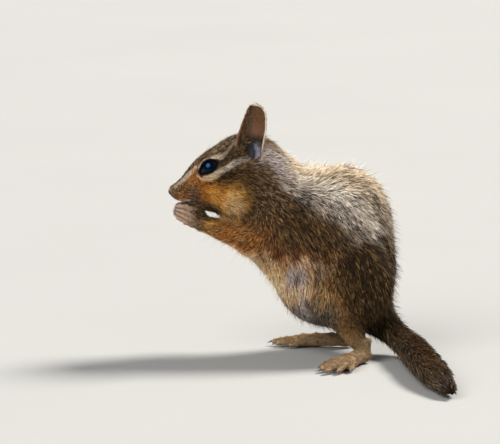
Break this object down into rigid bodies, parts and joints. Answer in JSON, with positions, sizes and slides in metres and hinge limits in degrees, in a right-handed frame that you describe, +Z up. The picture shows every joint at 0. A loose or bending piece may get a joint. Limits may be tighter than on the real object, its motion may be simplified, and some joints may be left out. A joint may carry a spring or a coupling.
{
  "type": "chipmunk",
  "caption": "Life-size still model of a western chipmunk that crouches on its hind feet with both hands at its mouth and its tail laid on the floor.",
  "frame": {"origin": "centre of the bounding box's foot, on the floor that the hind feet and the tail rest on", "axes": "+Z up, the nose towards -X and the animal's left side towards -Y; the tail lies along -Y and makes Y the longest extent"},
  "size_m": [0.1054, 0.1182, 0.0953],
  "materials": {
    "back_coat": "short brown grizzled fur",
    "face_coat": "short orange-brown fur with pale and dark face stripes",
    "belly_coat": "cream-buff fur",
    "tail_coat": "dark brown brush with pale hair tips",
    "skin": "thinly haired grey-pink skin",
    "eye": "wet black"
  },
  "bodies": {
    "root": {"muzzle": "face_coat", "head": "face_coat", "neck": "back_coat", "torso": "belly_coat", "rump": "back_coat", "eye_left": "eye", "eye_right": "eye", "ear_left": "skin", "ear_right": "skin", "arm_left": "face_coat", "arm_right": "face_coat", "hand_left": "skin", "hand_right": "skin", "leg_left": "back_coat", "leg_right": "back_coat", "foot_left": "skin", "foot_right": "skin", "tail_base": "tail_coat", "tail_middle": "tail_coat", "tail_tip": "tail_coat"}
  },
  "joints": []
}
